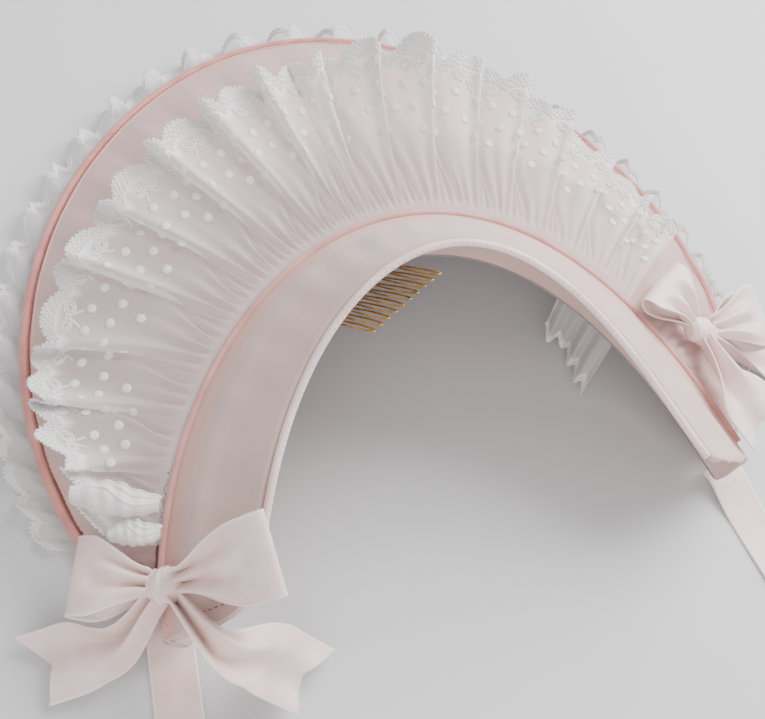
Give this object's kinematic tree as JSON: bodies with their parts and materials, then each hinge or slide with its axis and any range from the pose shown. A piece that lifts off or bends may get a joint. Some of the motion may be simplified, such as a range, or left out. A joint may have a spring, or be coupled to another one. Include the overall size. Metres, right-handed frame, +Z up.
{
  "type": "lace headdress",
  "caption": "Half-bonnet headdress with an arched cloth band, a gathered brim with a piped rim, lace ruffles on both faces, a wire comb, satin bows and ribbon ties.",
  "frame": {"origin": "middle of the footprint, on the surface the headdress lies on", "axes": "+Z up from that surface, +Y towards the top of the brim, +X to the right seen from above with the ties towards -Y"},
  "size_m": [0.2442, 0.257, 0.0708],
  "materials": {
    "cotton": "matt plain weave, dusty pink",
    "gathered_cotton": "matt plain weave, gathered, dusty pink",
    "piping": "matt bias binding over a cord, coral pink",
    "satin": "satin sheen, pale blush",
    "lace": "sheer net with matt thread, off-white",
    "tulle": "sheer pleated net, off-white",
    "gold_wire": "polished gold-coloured wire"
  },
  "bodies": {
    "root": {"headband": "cotton", "band_edging": "satin", "brim": "gathered_cotton", "rim_piping": "piping", "front_ruffle": "lace", "back_ruffle": "tulle", "comb": "gold_wire", "bow_left_knot": "satin", "bow_left_loop_inner": "satin", "bow_left_loop_outer": "satin", "bow_left_tail_inner": "satin", "bow_left_tail_outer": "satin", "bow_right_knot": "satin", "bow_right_loop_inner": "satin", "bow_right_loop_outer": "satin", "bow_right_tail_inner": "satin", "bow_right_tail_outer": "satin", "tie_left": "satin", "tie_right": "satin"}
  },
  "joints": []
}
